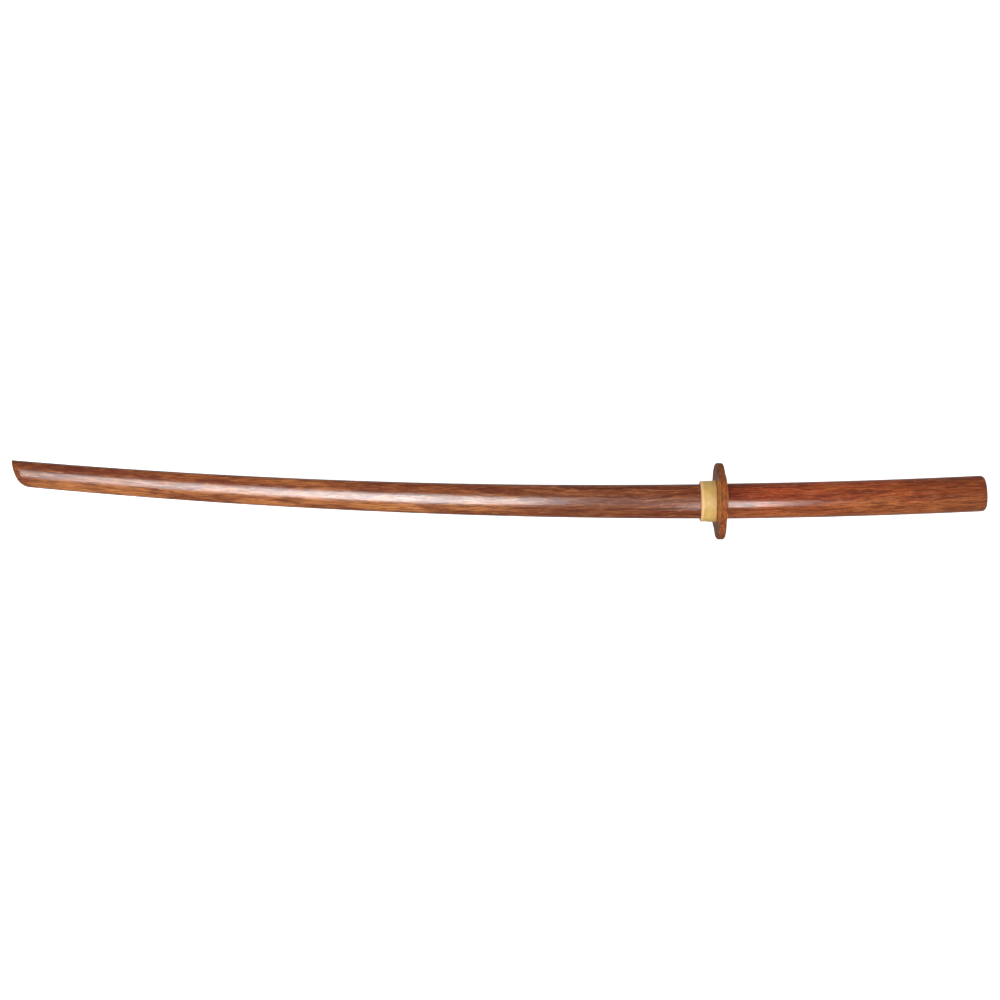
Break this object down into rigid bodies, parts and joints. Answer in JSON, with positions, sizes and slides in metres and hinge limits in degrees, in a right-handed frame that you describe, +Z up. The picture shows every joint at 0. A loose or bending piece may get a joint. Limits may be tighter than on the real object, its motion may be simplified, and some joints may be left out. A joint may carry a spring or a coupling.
{
  "type": "wooden practice sword",
  "caption": "Curved wooden practice sword with a lobed wooden guard and a flared rubber ring that holds the guard against the grip's shoulder.",
  "frame": {"origin": "centre of the bounding box's base, on the floor that the sword lies on", "axes": "+X runs along the sword from the point to the pommel, +Z up; the sword lies on two lobes of its guard and on the blade's edge, so one side of the blade faces -Y and up, and its back faces +Y and up"},
  "size_m": [1.0138, 0.0742, 0.0773],
  "materials": {
    "sword_wood": "red-brown stained hardwood under a thin satin varnish, grain along the blade",
    "guard_wood": "brown stained hardwood under a thin satin varnish, rounded rim",
    "ring_rubber": "tan-yellow rubber, satin"
  },
  "bodies": {
    "sword": {"sword_body": "sword_wood"},
    "guard": {"guard": "guard_wood"},
    "ring": {"retaining_ring": "ring_rubber"}
  },
  "joints": [
    {"name": "guard_slide", "type": "hinge", "parent": "sword", "child": "guard", "pos_m": [-0.20852, 4.00483, 6.1238], "axis": [0.0398, 0.8361, -0.5472], "range_deg": [0, 5.85]},
    {"name": "ring_slide", "type": "hinge", "parent": "guard", "child": "ring", "pos_m": [-0.20852, 4.00483, 6.1238], "axis": [0.0398, 0.8361, -0.5472], "range_deg": [0, 5.78]}
  ]
}
